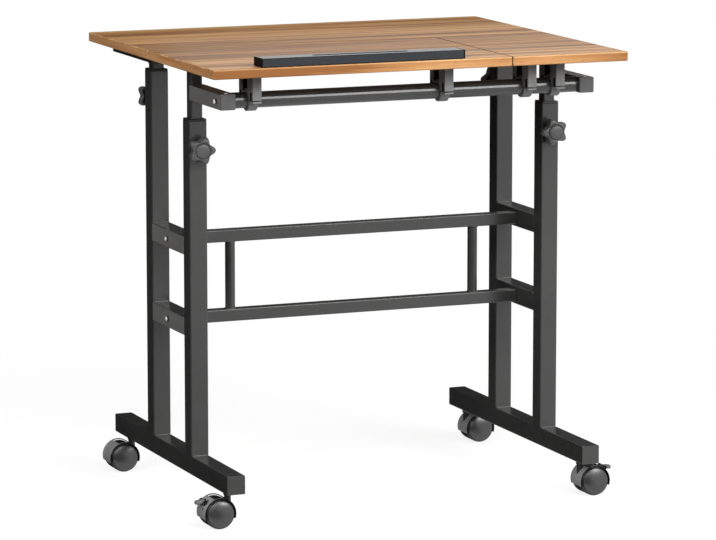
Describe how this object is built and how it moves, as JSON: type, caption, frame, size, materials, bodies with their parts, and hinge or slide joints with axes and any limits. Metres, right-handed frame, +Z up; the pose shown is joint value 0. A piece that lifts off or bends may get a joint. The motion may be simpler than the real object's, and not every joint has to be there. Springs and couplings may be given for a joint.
{
  "type": "mobile standing desk",
  "caption": "Mobile standing desk: telescoping black steel frame on braked twin-wheel casters, wood-grain top whose front left board tilts about a bar, book ledge, star knobs.",
  "frame": {"origin": "on the floor under the middle of the top", "axes": "+X right seen from the front, -Y front, +Z up"},
  "size_m": [0.72, 0.6, 0.7425],
  "materials": {
    "powder_coat": "satin black powder coat",
    "black_plastic": "moulded black plastic",
    "caster_plastic": "smooth black plastic",
    "wood_laminate": "satin wood-grain laminate on board, grain left to right",
    "ledge_plastic": "dark blue-grey satin"
  },
  "bodies": {
    "base": {"foot_left": "powder_coat", "foot_right": "powder_coat", "post_front_left": "powder_coat", "sleeve_front_left": "black_plastic", "post_front_right": "powder_coat", "sleeve_front_right": "black_plastic", "post_rear_left": "powder_coat", "sleeve_rear_left": "black_plastic", "post_rear_right": "powder_coat", "sleeve_rear_right": "black_plastic", "rung_lower_left": "powder_coat", "rung_lower_right": "powder_coat", "crossbar_lower": "powder_coat", "rung_upper_left": "powder_coat", "rung_upper_right": "powder_coat", "crossbar_upper": "powder_coat", "rod_left": "powder_coat", "rod_right": "powder_coat"},
    "front_lift": {"inner_tube_front_left": "powder_coat", "arm_left": "powder_coat", "arm_cap_left": "black_plastic", "inner_tube_front_right": "powder_coat", "arm_right": "powder_coat", "arm_cap_right": "black_plastic", "pivot_bar": "powder_coat", "desk_panel": "wood_laminate", "clamp_block_desk_left": "black_plastic", "clamp_saddle_desk_left": "black_plastic", "clamp_block_desk_right": "black_plastic", "clamp_saddle_desk_right": "black_plastic"},
    "rear_lift_left": {"inner_tube_rear_left": "powder_coat", "rail_left": "powder_coat"},
    "rear_lift_right": {"inner_tube_rear_right": "powder_coat", "rail_right": "powder_coat"},
    "reading_top": {"reading_panel": "wood_laminate", "clamp_block_reading_left": "black_plastic", "clamp_saddle_reading_left": "black_plastic", "clamp_block_reading_right": "black_plastic", "clamp_saddle_reading_right": "black_plastic", "book_ledge": "ledge_plastic"},
    "clamp_knob_front_left": {"knob_front_left": "black_plastic"},
    "clamp_knob_front_right": {"knob_front_right": "black_plastic"},
    "clamp_knob_rear_left": {"knob_rear_left": "black_plastic"},
    "clamp_knob_rear_right": {"knob_rear_right": "black_plastic"},
    "caster_front_left": {"caster_housing_front_left": "black_plastic"},
    "roller_front_left_front": {"wheel_front_left_front": "caster_plastic"},
    "roller_front_left_rear": {"wheel_front_left_rear": "caster_plastic"},
    "caster_front_right": {"caster_housing_front_right": "black_plastic"},
    "roller_front_right_front": {"wheel_front_right_front": "caster_plastic"},
    "roller_front_right_rear": {"wheel_front_right_rear": "caster_plastic"},
    "caster_rear_left": {"caster_housing_rear_left": "black_plastic"},
    "roller_rear_left_front": {"wheel_rear_left_front": "caster_plastic"},
    "roller_rear_left_rear": {"wheel_rear_left_rear": "caster_plastic"},
    "caster_rear_right": {"caster_housing_rear_right": "black_plastic"},
    "roller_rear_right_front": {"wheel_rear_right_front": "caster_plastic"},
    "roller_rear_right_rear": {"wheel_rear_right_rear": "caster_plastic"},
    "brake_left": {"brake_lever_left": "black_plastic"},
    "brake_right": {"brake_lever_right": "black_plastic"}
  },
  "joints": [
    {"name": "front_height", "type": "slide", "parent": "base", "child": "front_lift", "axis": [0, 0, 1], "range_m": [-0.007, 0.38]},
    {"name": "rear_height_left", "type": "slide", "parent": "base", "child": "rear_lift_left", "axis": [0, 0, 1], "range_m": [-0.007, 0.38]},
    {"name": "rear_height_right", "type": "slide", "parent": "base", "child": "rear_lift_right", "axis": [0, 0, 1], "range_m": [-0.007, 0.38]},
    {"name": "reading_tilt", "type": "hinge", "parent": "front_lift", "child": "reading_top", "pos_m": [0, -0.223, 0.6707], "axis": [1, 0, 0], "range_deg": [0, 45]},
    {"name": "knob_turn_front_left", "type": "hinge", "parent": "base", "child": "clamp_knob_front_left", "pos_m": [-0.305, -0.105, 0.5806], "axis": [0, -1, 0], "continuous": true},
    {"name": "knob_turn_front_right", "type": "hinge", "parent": "base", "child": "clamp_knob_front_right", "pos_m": [0.305, -0.105, 0.5806], "axis": [0, -1, 0], "continuous": true},
    {"name": "knob_turn_rear_left", "type": "hinge", "parent": "base", "child": "clamp_knob_rear_left", "pos_m": [-0.305, 0.105, 0.6406], "axis": [0, 1, 0], "continuous": true},
    {"name": "knob_turn_rear_right", "type": "hinge", "parent": "base", "child": "clamp_knob_rear_right", "pos_m": [0.305, 0.105, 0.6406], "axis": [0, 1, 0], "continuous": true},
    {"name": "swivel_front_left", "type": "hinge", "parent": "base", "child": "caster_front_left", "pos_m": [-0.305, -0.23, 0.058], "axis": [0, 0, 1], "continuous": true},
    {"name": "roll_front_left_front", "type": "hinge", "parent": "caster_front_left", "child": "roller_front_left_front", "pos_m": [-0.3235, -0.23, 0.024], "axis": [0, 1, 0], "continuous": true},
    {"name": "roll_front_left_rear", "type": "hinge", "parent": "caster_front_left", "child": "roller_front_left_rear", "pos_m": [-0.3235, -0.23, 0.024], "axis": [0, 1, 0], "continuous": true},
    {"name": "swivel_front_right", "type": "hinge", "parent": "base", "child": "caster_front_right", "pos_m": [0.305, -0.23, 0.058], "axis": [0, 0, 1], "continuous": true},
    {"name": "roll_front_right_front", "type": "hinge", "parent": "caster_front_right", "child": "roller_front_right_front", "pos_m": [0.3235, -0.23, 0.024], "axis": [0, 1, 0], "continuous": true},
    {"name": "roll_front_right_rear", "type": "hinge", "parent": "caster_front_right", "child": "roller_front_right_rear", "pos_m": [0.3235, -0.23, 0.024], "axis": [0, 1, 0], "continuous": true},
    {"name": "swivel_rear_left", "type": "hinge", "parent": "base", "child": "caster_rear_left", "pos_m": [-0.305, 0.23, 0.058], "axis": [0, 0, 1], "continuous": true},
    {"name": "roll_rear_left_front", "type": "hinge", "parent": "caster_rear_left", "child": "roller_rear_left_front", "pos_m": [-0.3235, 0.23, 0.024], "axis": [0, 1, 0], "continuous": true},
    {"name": "roll_rear_left_rear", "type": "hinge", "parent": "caster_rear_left", "child": "roller_rear_left_rear", "pos_m": [-0.3235, 0.23, 0.024], "axis": [0, 1, 0], "continuous": true},
    {"name": "swivel_rear_right", "type": "hinge", "parent": "base", "child": "caster_rear_right", "pos_m": [0.305, 0.23, 0.058], "axis": [0, 0, 1], "continuous": true},
    {"name": "roll_rear_right_front", "type": "hinge", "parent": "caster_rear_right", "child": "roller_rear_right_front", "pos_m": [0.3235, 0.23, 0.024], "axis": [0, 1, 0], "continuous": true},
    {"name": "roll_rear_right_rear", "type": "hinge", "parent": "caster_rear_right", "child": "roller_rear_right_rear", "pos_m": [0.3235, 0.23, 0.024], "axis": [0, 1, 0], "continuous": true},
    {"name": "brake_press_left", "type": "hinge", "parent": "caster_front_left", "child": "brake_left", "pos_m": [-0.34498, -0.23, 0.04334], "axis": [0, -1, 0], "range_deg": [0, 18]},
    {"name": "brake_press_right", "type": "hinge", "parent": "caster_front_right", "child": "brake_right", "pos_m": [0.34498, -0.23, 0.04334], "axis": [0, 1, 0], "range_deg": [0, 18]}
  ],
  "couplings": [
    {"joint": "rear_height_left", "follows": "front_height", "ratio": 1},
    {"joint": "rear_height_right", "follows": "front_height", "ratio": 1}
  ]
}
